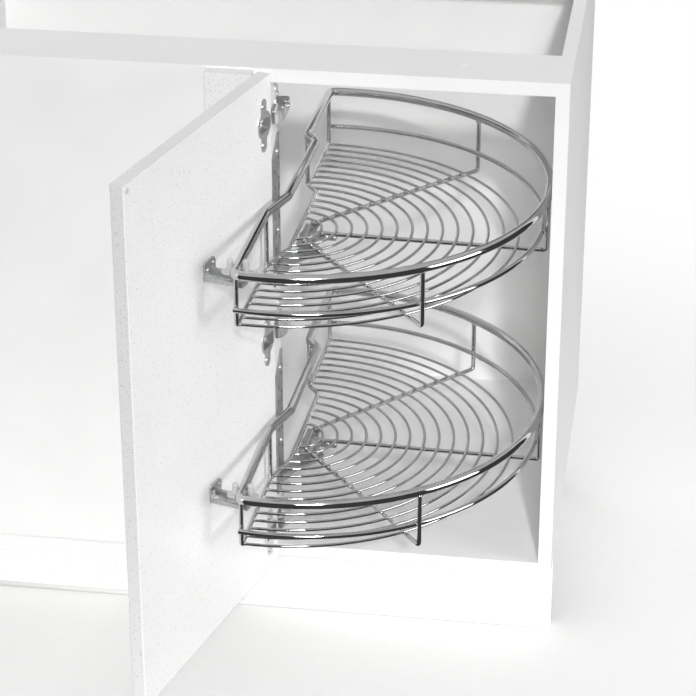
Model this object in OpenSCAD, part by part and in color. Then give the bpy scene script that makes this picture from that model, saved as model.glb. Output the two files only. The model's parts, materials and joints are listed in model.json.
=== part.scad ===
// Blind-corner carousel cabinet: carcass, overlay door and two half-moon wire shelves.
// X to the right, Y into the cabinet, Z up. Origin: floor under the middle front foot.

/* [Carcass] */
// overall width of the carcass
cab_w = 900; // [800:10:1100]
// carcass height without the plinth
cab_h = 720; // [680:10:900]
// depth of the side panels
cab_d = 560; // [520:10:600]
// board thickness of the carcass
panel_t = 18; // [16:1:19]
// clear width of the door opening
open_w = 364; // [364:1:420]
// floor to underside of the carcass
plinth_h = 120; // [100:5:150]
// width of the flat top rails
rail_w = 100; // [80:5:120]
// back panel thickness
back_t = 8; // [4:1:12]

/* [Blind front] */
// depth of the hinge post behind the front plane
post_d = 52; // [50:1:54]
// width of the fixed filler beside the door
filler_w = 62; // [40:1:100]

/* [Door] */
// door thickness
door_t = 18; // [16:1:22]
// opening angle of the photographed pose
door_open = 105; // [90:1:110]

/* [Shelves] */
// carcass top down to the floor wires of the upper shelf
upper_drop = 254; // [240:1:270]
// carcass floor up to the floor wires of the lower shelf
lower_rise = 132; // [110:1:150]
// rim height above the floor wires
wall_h = 75; // [60:1:90]
// height of the middle rail above the floor wires
mid_h = 24; // [20:1:40]
// rim wire diameter
rim_d = 12; // [8:1:12]
// middle rail wire diameter
rail_d = 7; // [6:0.5:8]
// floor ring wire diameter
ring_d = 4; // [3:0.5:5]
// diameter of radial wires, uprights and edge wire
wire_d = 6; // [5:0.5:7]
// number of floor rings
ring_n = 14; // [8:1:16]

/* [Hidden] */
$fn = 64;

// front plane of the carcass; the front feet stand 100 mm behind it
front_y = -100;
right_x = open_w + panel_t;
left_x = right_x - cab_w;
in_left = left_x + panel_t;
floor_z = plinth_h + panel_t;
top_z = plinth_h + cab_h;
rail_z = top_z - panel_t;
upper_z = top_z - upper_drop;
lower_z = floor_z + lower_rise;
back_gap = 16;
back_y = front_y + cab_d - back_gap - back_t;
groove = 8;
fit = 0.1;
white = [0.94, 0.94, 0.93];
steel = [0.75, 0.76, 0.78];
wire_col = [0.82, 0.83, 0.85];
dark = [0.35, 0.36, 0.38];
plastic = [0.88, 0.88, 0.86];

// the door laps over the hinge post and over the right side panel
overlay = 16;
edge_gap = 1;
door_gap = 2;
front_gap = 2;
door_w = overlay + open_w + panel_t - edge_gap;
door_h = cab_h - 2 * door_gap;

// door swing axis: 6 mm inside the door edge and 6 mm behind its outer face
axis_in = 6;
axis_x = axis_in - overlay;
axis_y = front_y - front_gap - door_t + axis_in;
door_z = plinth_h + door_gap;
face_y = door_t - axis_in;
// one hinge near each door end and one between the two shelf brackets
hinge_z = [plinth_h + 56, (lower_z + upper_z) / 2 + 42, top_z - 64];

// shelf pivot, measured from the opening side of the hinge post
piv_x = 38;
piv_y = front_y + 76;
shelf_angle = 88;
// the rim passes the right side panel with this clearance
rim_gap = 2;
shelf_r = open_w - piv_x - rim_d / 2 - rim_gap;
// distance of the straight side from the pivot, and its corner bends
edge_off = 32.6;
bend_r = 9;
bend_a = asin((edge_off - bend_r) / (shelf_r - bend_r));
bend_x = (shelf_r - bend_r) * cos(bend_a);
// notch of the straight side: ramps with the slopes 7:24 and 3:4
notch_depth = 16.8;
ramp_a = [atan2(7, 24), atan2(3, 4)];
notch_u = [-125.6, -68, 125, 147.4];
kink_r = 21;
kink_set = [3, 7];
pin_d = 10;

// link between door and shelf rim: the guide stands at the front end of the straight
// side, and the link meets the door at the same distance from the swing axis
guide_u = 18.6 - bend_x;
door_dir = [cos(door_open), -sin(door_open)];
link_s = [piv_x - axis_x + guide_u * cos(shelf_angle) - edge_off * sin(shelf_angle),
  piv_y - axis_y + guide_u * sin(shelf_angle) + edge_off * cos(shelf_angle)] * door_dir;
guide_low = wall_h - rim_d / 2 - 4.5;
link_top = guide_low - 0.5;
link_low = link_top - 14.5;
link_t = 2.5;
link_len = 54;
// screws of the link plate: place along the door and height over the floor wires
link_hole = [[1, link_low + 12.5], [-15, link_low + 17]];
bracket_dz = [20, 132];
bracket_hole_y = 24;
peg_d = 8;
peg_gap = rim_d + 0.1;

leg_x = [left_x + 48, 0, right_x - 48];
leg_y = [0, 380];

module on_door() {
  translate([axis_x, axis_y, 0])
    rotate([0, 0, -door_open])
      children();
}

module on_shelf(z) {
  translate([piv_x, piv_y, z])
    rotate([0, 0, shelf_angle])
      children();
}

// ring wire of radius r from angle a0 to a1
module arc(r, d, a0, a1) {
  rotate([0, 0, a0])
    rotate_extrude(angle = a1 - a0, $fn = 120)
      translate([r, 0])
        circle(d = d, $fn = 24);
}

// ---------- carcass ----------

module side_blank(x) {
  translate([x, front_y, plinth_h])
    cube([panel_t, cab_d, cab_h]);
}

module groove_cut(x) {
  translate([x, back_y - fit, plinth_h - 1])
    cube([groove + fit, back_t + 2 * fit, cab_h + 2]);
}

module left_side_panel() {
  color(white)
    difference() {
      side_blank(left_x);
      groove_cut(left_x + panel_t - groove - fit);
    }
}

module right_side_panel() {
  color(white)
    difference() {
      side_blank(open_w);
      groove_cut(open_w);
      // system-hole rows on the inner face
      for (y = [front_y + 37, back_y - 40])
        for (i = [0:5])
          translate([open_w - 1, y, plinth_h + 180 + i * 32])
            rotate([0, 90, 0])
              cylinder(d = 5, h = 12, $fn = 24);
    }
}

module bottom_panel() {
  color(white)
    difference() {
      translate([in_left, front_y, plinth_h])
        cube([open_w - in_left, back_y - front_y - fit, panel_t]);
      for (x = leg_x)
        for (y = leg_y)
          translate([x, y, plinth_h - 1])
            cylinder(d = 10, h = 11);
    }
}

module back_panel() {
  color(white)
    translate([left_x + panel_t - groove, back_y, plinth_h])
      cube([open_w - in_left + 2 * groove, back_t, cab_h]);
}

module top_rail(y) {
  difference() {
    translate([in_left, y, rail_z])
      cube([open_w - in_left, rail_w, panel_t]);
    for (x = [in_left + 120, open_w - 120])
      translate([x, y + rail_w / 2, rail_z - 1])
        cylinder(d = 6, h = panel_t + 2);
  }
}

module top_front_rail() {
  color(white)
    top_rail(front_y);
}

module top_rear_rail() {
  color(white)
    top_rail(back_y - rail_w - fit);
}

module hinge_post() {
  color(white)
    difference() {
      translate([-panel_t, front_y, floor_z])
        cube([panel_t, post_d, rail_z - floor_z]);
      // pilot bores of the hinge plates and the shelf brackets
      for (z = hinge_z)
        for (dz = [-16, 16])
          translate([-11, front_y + 37, z + dz])
            rotate([0, 90, 0])
              cylinder(d = 5, h = 12, $fn = 24);
      for (z = [upper_z, lower_z])
        for (dz = bracket_dz)
          translate([-11, front_y + bracket_hole_y, z + dz])
            rotate([0, 90, 0])
              cylinder(d = 4, h = 12, $fn = 24);
    }
}

module blind_front_panel() {
  color(white)
    translate([in_left, front_y, floor_z])
      cube([-panel_t - in_left, panel_t, rail_z - floor_z]);
}

module board_profile(w, t, c) {
  polygon([[c, 0], [w - c, 0], [w, c], [w, t - c], [w - c, t], [c, t], [0, t - c], [0, c]]);
}

module filler_strip() {
  color(white)
    translate([-20 - filler_w, front_y - front_gap - door_t, door_z])
      linear_extrude(height = door_h)
        board_profile(filler_w, front_gap + door_t - fit / 2, 1);
}

module corner_brackets() {
  color(steel)
    for (x = [in_left + 10, -panel_t - 50])
      translate([x, front_y + panel_t, floor_z])
        difference() {
          union() {
            cube([40, 22, 2]);
            cube([40, 2, 22]);
            for (e = [0, 38.5])
              translate([e, 0, 0])
                rotate([90, 0, 90])
                  linear_extrude(height = 1.5)
                    polygon([[0, 0], [20, 0], [0, 20]]);
          }
          for (e = [12, 28])
            translate([e, 13, -1])
              cylinder(d = 4, h = 4, $fn = 24);
        }
}

// ---------- plinth and legs ----------

plinth_y = front_y + 50;
plinth_t = 16;

module plinth_board() {
  color(white)
    difference() {
      translate([left_x, plinth_y, 2])
        cube([cab_w, plinth_t, plinth_h - 4]);
      // rear groove that takes the clip plates
      translate([left_x - 1, plinth_y + plinth_t - 3, 55])
        cube([cab_w + 2, 4, 8]);
    }
}

module plinth_clips() {
  ring_in = 15.05;
  color(dark)
    for (x = leg_x)
      translate([x, leg_y[0], 50])
        difference() {
          union() {
            cylinder(r = 18.5, h = 18);
            translate([-7, -33.95, 4])
              cube([14, 18, 10]);
            translate([-20, -33.95, 0])
              cube([40, 3, 18]);
            translate([-20, -36.9, 5.1])
              cube([40, 4, 7.8]);
          }
          translate([0, 0, -1])
            cylinder(r = ring_in, h = 20);
          translate([-9, 0, -1])
            cube([18, 30, 20]);
        }
}

module leg_sockets() {
  color(dark)
    for (x = leg_x)
      for (y = leg_y)
        translate([x, y, 0])
          difference() {
            union() {
              translate([0, 0, plinth_h - 5])
                cylinder(r = 34, h = 5);
              translate([0, 0, plinth_h - 28])
                cylinder(r = 20, h = 24);
              translate([0, 0, plinth_h - 1])
                cylinder(d = 9.9, h = 9);
              for (a = [0:60:300])
                rotate([0, 0, a])
                  translate([0, 1.25, plinth_h - 5])
                    rotate([90, 0, 0])
                      linear_extrude(height = 2.5)
                        polygon([[18, 1], [32, 1], [18, -16]]);
            }
            translate([0, 0, plinth_h - 29])
              cylinder(r = 15.05, h = 25);
          }
}

module leg_shafts() {
  color(dark)
    for (x = leg_x)
      for (y = leg_y)
        translate([x, y, 0])
          difference() {
            translate([0, 0, 22])
              cylinder(r = 15, h = plinth_h - 5 - 22);
            translate([0, 0, 21])
              cylinder(r = 11.05, h = 50);
          }
}

module leg_feet() {
  color(dark)
    for (x = leg_x)
      for (y = leg_y)
        translate([x, y, 0])
          rotate_extrude($fn = 64)
            polygon([[0, 0], [28, 0], [30, 2], [30, 6], [28, 8], [20, 10], [16, 21.9],
              [11, 21.9], [11, 62], [10, 64], [0, 64]]);
}

// ---------- door and hinges ----------

cup_s = 22.5 - axis_in;
cup_r = 17.5;
cup_deep = 12.5;

module cup_bore(z) {
  translate([cup_s, face_y + 1, z])
    rotate([90, 0, 0])
      cylinder(r = cup_r, h = cup_deep + 1);
}

module door_panel() {
  color(white)
    on_door()
      difference() {
        translate([-axis_in, -axis_in, door_z])
          linear_extrude(height = door_h)
            board_profile(door_w, door_t, 1);
        for (z = hinge_z)
          cup_bore(z);
        for (z = hinge_z)
          for (dz = [-26, 26])
            translate([cup_s + 5.5, face_y + 1, z + dz])
              rotate([90, 0, 0])
                cylinder(d = 3, h = 12, $fn = 24);
        for (z = [upper_z, lower_z])
          for (p = link_hole)
            translate([link_s + p[0], face_y + 1, z + p[1]])
              rotate([90, 0, 0])
                cylinder(d = 3, h = 12, $fn = 24);
      }
}

module door_bumpers() {
  color(plastic)
    on_door()
      for (z = [door_z + 8, door_z + door_h - 8])
        translate([door_w - axis_in - 8, face_y, z])
          rotate([-90, 0, 0])
            cylinder(r1 = 4, r2 = 2.5, h = 1.6, $fn = 32);
}

module cup_flange() {
  difference() {
    union() {
      translate([cup_s - 6, 0, -28])
        cube([16, 1.4, 56]);
      for (dz = [-28, 28])
        translate([cup_s + 2, 1.4, dz])
          rotate([90, 0, 0])
            cylinder(r = 8, h = 1.4);
    }
    for (dz = [-26, 26])
      translate([cup_s + 5.5, 2, dz])
        rotate([90, 0, 0])
          cylinder(d = 4.2, h = 3, $fn = 24);
  }
}

module hinge_cups() {
  color(steel)
    on_door()
      for (z = hinge_z)
        translate([0, face_y, z])
          difference() {
            union() {
              translate([cup_s, 0, 0])
                rotate([90, 0, 0])
                  cylinder(r = cup_r - 0.05, h = cup_deep - 0.2);
              translate([cup_s, 1.4, 0])
                rotate([90, 0, 0])
                  cylinder(r = cup_r + 1.5, h = 1.4);
              cup_flange();
            }
            // pocket that takes the arm nose when the door is closed
            translate([cup_s - 15, -11, -9])
              cube([28, 14, 18]);
          }
}

module hinge_cup_screws() {
  color(steel)
    on_door()
      for (z = hinge_z)
        for (dz = [-26, 26])
          translate([cup_s + 5.5, face_y + 1.4, z + dz])
            rotate([90, 0, 0])
              difference() {
                union() {
                  translate([0, 0, -1.6])
                    cylinder(r1 = 2.6, r2 = 3.4, h = 1.6, $fn = 32);
                  cylinder(d = 2.9, h = 11, $fn = 32);
                }
                for (a = [0, 90])
                  rotate([0, 0, a])
                    translate([-1.8, -0.4, -2])
                      cube([3.6, 0.8, 1.4]);
              }
}

module hinge_plates() {
  color(steel)
    for (z = hinge_z)
      translate([0, front_y + 37, z])
        difference() {
          union() {
            translate([0, -14, -8])
              cube([5, 28, 16]);
            translate([0, -7, -23])
              cube([2.5, 14, 46]);
            for (dz = [-23, 23])
              translate([0, 0, dz])
                rotate([0, 90, 0])
                  cylinder(r = 7, h = 2.5);
          }
          for (dz = [-16, 16])
            translate([-1, 0, dz])
              rotate([0, 90, 0])
                cylinder(d = 5.2, h = 5, $fn = 24);
        }
}

module hinge_plate_screws() {
  color(steel)
    for (z = hinge_z)
      for (dz = [-16, 16])
        translate([0, front_y + 37, z + dz])
          rotate([0, 90, 0])
            difference() {
              union() {
                translate([0, 0, -10.5])
                  cylinder(d = 4.9, h = 13.05, $fn = 32);
                translate([0, 0, 2.55])
                  cylinder(r1 = 4.2, r2 = 3.2, h = 1.6, $fn = 32);
              }
              for (a = [0, 90])
                rotate([0, 0, a])
                  translate([-2.2, -0.45, 3])
                    cube([4.4, 0.9, 2]);
            }
}

// arm: folded channel over the plate that ends in the cranked nose
module hinge_arms() {
  color(steel)
    for (z = hinge_z)
      translate([5, front_y, z])
        difference() {
          translate([0, 0, -8])
            linear_extrude(height = 16)
              polygon([[0, 52], [9, 52], [12, 49], [12, 8], [10, 1], [6, -5], [2.5, -8.5],
                [-1, -9], [-2, -6.5], [-0.5, -3], [1, 0], [0, 6]]);
          // hollow underside of the channel
          translate([-6, 7, -6.2])
            cube([15.5, 40, 12.4]);
          translate([5, 38, -6.2])
            rotate([0, 90, 0])
              translate([-6.2, 0, 0])
                cylinder(d = 5.2, h = 12, $fn = 24);
        }
}

module hinge_arm_screws() {
  color(steel)
    for (z = hinge_z)
      translate([5, front_y + 38, z])
        rotate([0, 90, 0])
          difference() {
            union() {
              cylinder(d = 5, h = 12.5, $fn = 32);
              translate([0, 0, 12.05])
                cylinder(d = 7.6, h = 1.8, $fn = 32);
            }
            for (a = [0, 90])
              rotate([0, 0, a])
                translate([-2.4, -0.5, 12.6])
                  cube([4.8, 1, 2]);
          }
}

// ---------- shelf brackets ----------

arm_top = -30.05;
arm_t = 4;

module bracket(z) {
  translate([0, 0, z])
    difference() {
      union() {
        // side plate with a sloped top, screwed to the hinge post
        translate([0, front_y, 0])
          rotate([90, 0, 90])
            linear_extrude(height = 3)
              polygon([[4, -55], [30, -55], [46, -30], [46, 150], [40, 150], [4, 128]]);
        // arm under the shelf
        translate([0, 0, arm_top - arm_t])
          linear_extrude(height = arm_t)
            union() {
              polygon([[0, front_y + 8], [0, front_y + 46], [piv_x - 9, piv_y + 13],
                [piv_x + 9, piv_y - 13]]);
              translate([piv_x, piv_y])
                circle(r = 16);
            }
        // web below the arm
        translate([0, front_y + 30, arm_top - arm_t])
          rotate([0, 0, atan2(piv_y - front_y - 30, piv_x)])
            translate([0, 1.5, 0])
              rotate([90, 0, 0])
                linear_extrude(height = 3)
                  polygon([[1, 1], [44, 1], [44, -3], [1, -20]]);
      }
      // perforation of the side plate
      for (i = [0:5])
        translate([-1, front_y + 12, 8 + i * 22])
          rotate([0, 90, 0])
            cylinder(d = 5.5, h = 5, $fn = 32);
      for (i = [0:4])
        translate([-1, front_y + 36, 14 + i * 28]) {
          translate([0, -2.75, 0])
            cube([5, 5.5, 12]);
          for (e = [0, 12])
            translate([0, 0, e])
              rotate([0, 90, 0])
                cylinder(d = 5.5, h = 5, $fn = 32);
        }
      for (dz = bracket_dz)
        translate([-1, front_y + bracket_hole_y, dz])
          rotate([0, 90, 0])
            cylinder(d = 4.4, h = 5, $fn = 32);
      translate([piv_x, piv_y, arm_top - arm_t - 1])
        cylinder(d = pin_d + 0.1, h = arm_t + 2);
    }
}

module bracket_screws(z) {
  for (dz = bracket_dz)
    translate([0, front_y + bracket_hole_y, z + dz])
      rotate([0, 90, 0])
        difference() {
          union() {
            translate([0, 0, -10.5])
              cylinder(d = 3.9, h = 13.6, $fn = 32);
            translate([0, 0, 3.05])
              cylinder(r1 = 4, r2 = 2.6, h = 1.8, $fn = 32);
          }
          for (a = [0, 90])
            rotate([0, 0, a])
              translate([-1.8, -0.4, 3.9])
                cube([3.6, 0.8, 2]);
        }
}

module pivot_pin(z) {
  low = arm_top - arm_t - 8;
  translate([piv_x, piv_y, z + low])
    cylinder(d = pin_d, h = hub_top - 0.06 - low);
}

// lock nut under the bracket arm
module pivot_nut(z) {
  translate([piv_x, piv_y, z + arm_top - arm_t - 6.05])
    difference() {
      union() {
        cylinder(r = 8.7, h = 5, $fn = 6);
        translate([0, 0, 4.5])
          cylinder(r = 9.5, h = 1.5);
      }
      translate([0, 0, -1])
        cylinder(d = pin_d + 0.1, h = 8);
    }
}

module upper_bracket() {
  color(dark)
    bracket(upper_z);
}

module lower_bracket() {
  color(dark)
    bracket(lower_z);
}

module upper_bracket_screws() {
  color(steel)
    bracket_screws(upper_z);
}

module lower_bracket_screws() {
  color(steel)
    bracket_screws(lower_z);
}

module upper_pivot_pin() {
  color(steel)
    pivot_pin(upper_z);
}

module lower_pivot_pin() {
  color(steel)
    pivot_pin(lower_z);
}

module upper_pivot_nut() {
  color(steel)
    pivot_nut(upper_z);
}

module lower_pivot_nut() {
  color(steel)
    pivot_nut(lower_z);
}

// ---------- half-moon shelves ----------

spoke_z = -(ring_d + wire_d) / 2 - 0.02;
hub_top = spoke_z - wire_d / 2 - 0.02;
hub_low = -30;
rim_low = wall_h - rim_d / 2;
spoke_bend = 4.8;
// butt-weld seam at each end of a straight wire length
seam = 0.01;

// the rail runs inside the upturned radial wires and outside the corner uprights
rail_r = shelf_r - (wire_d + rail_d) / 2 - 0.05;
rail_a = asin((edge_off + 2) / rail_r);
corner_u = sqrt(pow(rail_r - (wire_d + rail_d) / 2 - 0.05, 2) - edge_off * edge_off);
notch_off = edge_off - notch_depth;

// the floor rings share a centre between the pivot and the straight side
ring_off = 21;
ring_first = 36;
ring_last = corner_u - 3.5;

// bent radial wire: a short length over the hub, then out to the rim on both sides
spoke_off = 3.8;
spoke_u = 28;
spoke_a = 37;
spoke_r = 10;
spoke_x = shelf_r * cos(spoke_a) - spoke_u;
spoke_y = shelf_r * sin(spoke_a) + spoke_off;
spoke_w = atan2(spoke_y, spoke_x);
spoke_set = spoke_r * tan(spoke_w / 2);

// wire pieces laid end to end: each one starts at the origin, heads along +X
// and places its children at its own end
module ahead(len, d) {
  translate([seam, 0, 0])
    rotate([0, 90, 0])
      cylinder(d = d, h = len - 2 * seam, $fn = 32);
  translate([len, 0, 0])
    children();
}

module veer_left(r, w, d) {
  translate([0, r, 0])
    rotate([0, 0, -90])
      arc(r, d, 0, w);
  translate([0, r, 0])
    rotate([0, 0, w])
      translate([0, -r, 0])
        children();
}

module veer_right(r, w, d) {
  mirror([0, 1, 0])
    veer_left(r, w, d)
      mirror([0, 1, 0])
        children();
}

// upward bend that ends below the rim
module turn_up(z, d) {
  translate([0, 0, spoke_bend])
    rotate([90, 0, 0])
      rotate([0, 0, -90])
        arc(spoke_bend, d, 0, 90);
  translate([spoke_bend, 0, spoke_bend])
    cylinder(d = d, h = rim_low - 0.05 - z - spoke_bend, $fn = 32);
}

// start of the straight side, at the end of the round side
module side_start(z) {
  translate([-shelf_r * cos(bend_a), shelf_r * sin(bend_a), z])
    rotate([0, 0, 90 - bend_a])
      children();
}

// notched straight side of the rim and the floor edge wire, run long on both sides
module straight_side(d, run) {
  ahead(run + notch_u[0] - kink_set[0], d)
    veer_right(kink_r, ramp_a[0], d)
      ahead(notch_depth / sin(ramp_a[0]) - 2 * kink_set[0], d)
        veer_left(kink_r, ramp_a[0], d)
          ahead(notch_u[2] - notch_u[1] - kink_set[0] - kink_set[1], d)
            veer_left(kink_r, ramp_a[1], d)
              ahead(notch_depth / sin(ramp_a[1]) - 2 * kink_set[1], d)
                veer_right(kink_r, ramp_a[1], d)
                  ahead(run - notch_u[3] - kink_set[1], d)
                    children();
}

// the rim is one bent wire whose ends meet at the rear corner
module rim() {
  side_start(wall_h)
    union() {
      veer_right(bend_r, 90 - bend_a, rim_d)
        straight_side(rim_d, bend_x)
          veer_right(bend_r, 90 - bend_a - 0.1, rim_d);
      mirror([1, 0, 0])
        veer_right(shelf_r, 180 + 2 * bend_a, rim_d);
    }
}

module mid_rail() {
  translate([0, 0, mid_h])
    arc(rail_r, rail_d, 180 - rail_a, 360 + rail_a);
}

// the floor edge wire turns up at both corners and is welded below the rim
module edge_wire() {
  run = corner_u - spoke_bend;
  translate([-run, edge_off, 0])
    union() {
      straight_side(wire_d, run)
        turn_up(0, wire_d);
      mirror([1, 0, 0])
        turn_up(0, wire_d);
    }
}

module uprights() {
  for (u = [notch_u[0], notch_u[3]])
    translate([u, edge_off, wire_d / 2 + 0.05])
      cylinder(d = wire_d, h = rim_low - wire_d / 2 - 0.1, $fn = 32);
}

// angle at which the ring of radius r meets a side piece tilted by t at distance h
function meet(r, t, h, m) = t + asin((h - m) / r);

// ring end angle on one side; u0 and u1 are the start and end of the ramp
function ring_end(r, u0, u1) =
  let (side = edge_off - ring_off)
  let (notch = notch_off - ring_off)
  let (t = atan2(side - notch, u1 - u0))
  let (h = notch * cos(t) - u0 * sin(t))
  r < sqrt(u0 * u0 + notch * notch) - 3 ? meet(r, 0, notch, 3.75) :
  r < sqrt(u1 * u1 + side * side) - 3 ? meet(r, t, h, 4.35) :
  meet(r, 0, side, 3.75);

module rings() {
  step = (ring_last - ring_first) / (ring_n - 1);
  translate([0, ring_off, 0])
    for (i = [0:ring_n - 1]) {
      r = ring_first + i * step;
      arc(r, ring_d, 180 - ring_end(r, -notch_u[1], -notch_u[0]),
        360 + ring_end(r, notch_u[2], notch_u[3]));
    }
}

// half of the bent radial wire, from the middle of its short length over the hub
module spoke_half() {
  translate([0, spoke_off, spoke_z])
    ahead(spoke_u - spoke_set, wire_d)
      veer_right(spoke_r, spoke_w, wire_d)
        ahead(norm([spoke_x, spoke_y]) - spoke_set - spoke_bend, wire_d)
          turn_up(spoke_z, wire_d);
}

module spokes() {
  spoke_half();
  mirror([1, 0, 0])
    spoke_half();
  // the middle radial wire starts under the first ring
  rotate([0, 0, -90])
    translate([ring_first - ring_off - 3, 0, spoke_z])
      ahead(shelf_r - spoke_bend - ring_first + ring_off + 3, wire_d)
        turn_up(spoke_z, wire_d);
}

// welded plate under the radial wires, with the pivot sleeve below it
module hub() {
  difference() {
    union() {
      translate([0, 0, hub_top - 3])
        linear_extrude(height = 3)
          union() {
            circle(r = 15);
            translate([-36, spoke_off - 9])
              square([72, 18]);
            translate([-8, -36])
              square([16, 36]);
          }
      translate([0, 0, hub_low])
        cylinder(r = 11, h = hub_top - hub_low - 1);
    }
    translate([0, 0, hub_low - 1])
      cylinder(d = pin_d + 0.1, h = hub_top - hub_low + 2);
    for (x = [-28, 28])
      translate([x, spoke_off, hub_top - 4])
        cylinder(d = 4.5, h = 5, $fn = 32);
  }
}

module upper_hub() {
  color(steel)
    on_shelf(upper_z)
      hub();
}

module lower_hub() {
  color(steel)
    on_shelf(lower_z)
      hub();
}

module upper_radials() {
  color(wire_col)
    on_shelf(upper_z)
      spokes();
}

module lower_radials() {
  color(wire_col)
    on_shelf(lower_z)
      spokes();
}

module upper_rings() {
  color(wire_col)
    on_shelf(upper_z)
      rings();
}

module lower_rings() {
  color(wire_col)
    on_shelf(lower_z)
      rings();
}

module upper_edge_wire() {
  color(wire_col)
    on_shelf(upper_z)
      edge_wire();
}

module lower_edge_wire() {
  color(wire_col)
    on_shelf(lower_z)
      edge_wire();
}

module upper_uprights() {
  color(wire_col)
    on_shelf(upper_z)
      uprights();
}

module lower_uprights() {
  color(wire_col)
    on_shelf(lower_z)
      uprights();
}

module upper_mid_rail() {
  color(wire_col)
    on_shelf(upper_z)
      mid_rail();
}

module lower_mid_rail() {
  color(wire_col)
    on_shelf(lower_z)
      mid_rail();
}

module upper_rim() {
  color(wire_col)
    on_shelf(upper_z)
      rim();
}

module lower_rim() {
  color(wire_col)
    on_shelf(lower_z)
      rim();
}

// ---------- door link ----------

module link_arm(z) {
  on_door()
    translate([link_s, face_y, z])
      difference() {
        union() {
          // plate on the door
          rotate([90, 0, 0])
            translate([0, 0, -3])
              linear_extrude(height = 3)
                polygon([[-22, link_low], [8, link_low], [8, link_low + 22], [6, link_low + 24],
                  [-17, link_low + 24], [-22, link_low + 19]]);
          // trough with a tall wall towards the hinges and a low front lip
          rotate([90, 0, 0])
            translate([0, 0, -link_len])
              linear_extrude(height = link_len - 1)
                polygon([[-7, link_low], [8, link_low], [8, link_low + 6], [8 - link_t, link_low + 6],
                  [8 - link_t, link_low + link_t], [link_t - 7, link_low + link_t],
                  [link_t - 7, link_top], [-7, link_top]]);
        }
        // slot in the floor of the trough
        translate([-2, 20, link_low - 1])
          cube([5, 24, link_t + 2]);
        for (y = [20, 44])
          translate([0.5, y, link_low - 1])
            cylinder(d = 5, h = link_t + 2, $fn = 32);
        for (p = link_hole)
          translate([p[0], 4, p[1]])
            rotate([90, 0, 0])
              cylinder(d = 4, h = 5, $fn = 32);
      }
}

module link_screws(z) {
  on_door()
    for (p = link_hole)
      translate([link_s + p[0], face_y + 3, z + p[1]])
        rotate([90, 0, 0])
          difference() {
            union() {
              translate([0, 0, -1.65])
                cylinder(r1 = 2, r2 = 3, h = 1.6, $fn = 32);
              translate([0, 0, -0.1])
                cylinder(d = 2.9, h = 14, $fn = 32);
            }
            for (a = [0, 90])
              rotate([0, 0, a])
                translate([-1.5, -0.35, -2])
                  cube([3, 0.7, 1.2]);
          }
}

// sliding guide: two upright pegs that straddle the rim wire
module rim_guide() {
  translate([guide_u, edge_off, 0])
    union() {
      translate([-7, -14, guide_low])
        cube([14, 28, 3]);
      for (s = [-1, 1]) {
        translate([0, s * (peg_gap + peg_d) / 2, guide_low + 2])
          cylinder(d = peg_d, h = wall_h + 5 - guide_low);
        translate([0, s * (peg_gap + peg_d) / 2, wall_h + 7])
          cylinder(d1 = peg_d, d2 = peg_d - 3, h = 2);
        translate([0, s * 14, guide_low])
          cylinder(r = 7, h = 3);
      }
    }
}

module upper_link_arm() {
  color(steel)
    link_arm(upper_z);
}

module lower_link_arm() {
  color(steel)
    link_arm(lower_z);
}

module upper_link_screws() {
  color(steel)
    link_screws(upper_z);
}

module lower_link_screws() {
  color(steel)
    link_screws(lower_z);
}

module upper_rim_guide() {
  color(plastic)
    on_shelf(upper_z)
      rim_guide();
}

module lower_rim_guide() {
  color(plastic)
    on_shelf(lower_z)
      rim_guide();
}

left_side_panel();
right_side_panel();
bottom_panel();
back_panel();
top_front_rail();
top_rear_rail();
hinge_post();
blind_front_panel();
filler_strip();
corner_brackets();
plinth_board();
plinth_clips();
leg_sockets();
leg_shafts();
leg_feet();
door_panel();
door_bumpers();
hinge_cups();
hinge_cup_screws();
hinge_plates();
hinge_plate_screws();
hinge_arms();
hinge_arm_screws();
upper_bracket();
upper_bracket_screws();
upper_pivot_pin();
upper_pivot_nut();
upper_hub();
upper_radials();
upper_rings();
upper_edge_wire();
upper_uprights();
upper_mid_rail();
upper_rim();
upper_link_arm();
upper_link_screws();
upper_rim_guide();
lower_bracket();
lower_bracket_screws();
lower_pivot_pin();
lower_pivot_nut();
lower_hub();
lower_radials();
lower_rings();
lower_edge_wire();
lower_uprights();
lower_mid_rail();
lower_rim();
lower_link_arm();
lower_link_screws();
lower_rim_guide();
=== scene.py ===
"""Finishes, weld beads, small fittings, studio and camera for the corner carousel cabinet."""

import json
import math
import random

import bmesh
import bpy
from bpy.props import FloatProperty, FloatVectorProperty, PointerProperty
from mathutils import Matrix, Vector


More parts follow.
